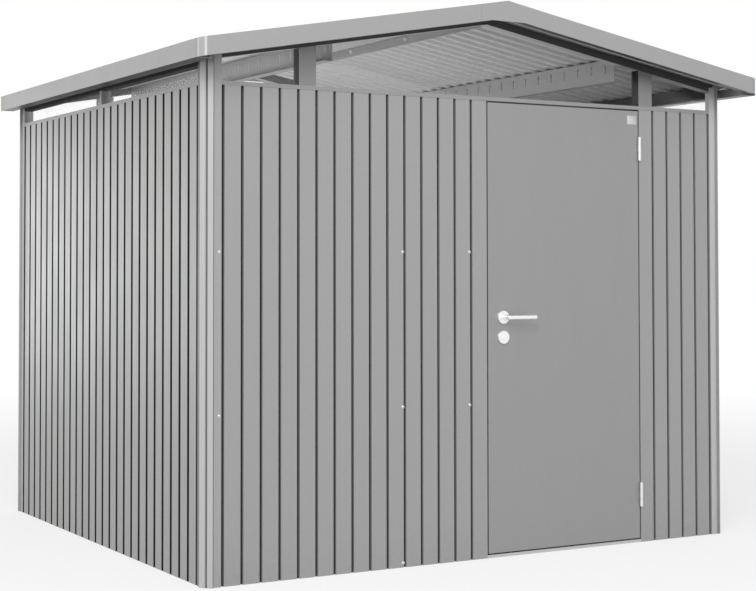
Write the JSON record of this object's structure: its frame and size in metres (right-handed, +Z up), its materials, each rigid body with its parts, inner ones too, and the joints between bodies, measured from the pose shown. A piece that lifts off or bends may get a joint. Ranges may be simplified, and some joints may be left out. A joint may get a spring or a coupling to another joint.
{
  "type": "metal storage shed",
  "caption": "Metal garden storage shed with grooved sheet walls, a low gable roof, a clear band under the eaves and a hinged door with a lever handle.",
  "frame": {"origin": "on the ground under the middle of the roof outline", "axes": "+X right along the door wall, +Y to the back, +Z up; the door faces -Y"},
  "size_m": [2.728, 2.347, 2.2605],
  "materials": {
    "silver_paint": "satin silver-grey metallic paint",
    "post_paint": "satin silver-grey metallic paint",
    "rail_paint": "satin silver-grey metallic paint",
    "base_steel": "light grey coated steel",
    "roof_paint": "satin silver-grey metallic paint",
    "fascia_paint": "satin silver-grey metallic paint",
    "clear_sheet": "clear acrylic sheet",
    "door_paint": "satin silver-grey metallic paint",
    "satin_steel": "satin",
    "hinge_steel": "bright zinc"
  },
  "bodies": {
    "shed": {"front_left_panels": "silver_paint", "front_right_panel": "silver_paint", "left_wall_panels": "silver_paint", "right_wall_panels": "silver_paint", "back_wall_panels": "silver_paint", "lock_jamb": "silver_paint", "hinge_jamb": "silver_paint", "front_left_post": "post_paint", "front_right_post": "post_paint", "back_left_post": "post_paint", "back_right_post": "post_paint", "front_short_posts": "post_paint", "back_short_posts": "post_paint", "side_mullions": "post_paint", "front_top_rail": "rail_paint", "left_top_rail": "rail_paint", "right_top_rail": "rail_paint", "back_top_rail": "rail_paint", "front_gable_beam": "rail_paint", "back_gable_beam": "rail_paint", "left_eave_beam": "rail_paint", "right_eave_beam": "rail_paint", "ridge_beam": "rail_paint", "purlins": "rail_paint", "front_base_rails": "base_steel", "left_base_rail": "base_steel", "right_base_rail": "base_steel", "back_base_rail": "base_steel", "door_threshold": "base_steel", "left_roof_sheet": "roof_paint", "right_roof_sheet": "roof_paint", "ridge_cap": "roof_paint", "front_fascia": "fascia_paint", "back_fascia": "fascia_paint", "left_gutter": "fascia_paint", "right_gutter": "fascia_paint", "roof_corners": "fascia_paint", "apex_plates": "fascia_paint", "front_clear_band": "clear_sheet", "back_clear_band": "clear_sheet", "left_clear_band": "clear_sheet", "right_clear_band": "clear_sheet", "frame_hinge_halves": "hinge_steel"},
    "door": {"door_leaf": "door_paint", "door_hinge_halves": "hinge_steel", "lock_plates": "satin_steel"},
    "lever": {"door_lever": "satin_steel"}
  },
  "joints": [
    {"name": "door_swing", "type": "hinge", "parent": "shed", "child": "door", "pos_m": [0.8, -1.0295, 0], "axis": [0, 0, 1], "range_deg": [0, 110]},
    {"name": "lever_turn", "type": "hinge", "parent": "door", "child": "lever", "pos_m": [0.078, -1.022, 0.98], "axis": [0, 1, 0], "range_deg": [0, 40], "stiffness_Nm_per_rad": 1, "springref_deg": -28.65}
  ]
}
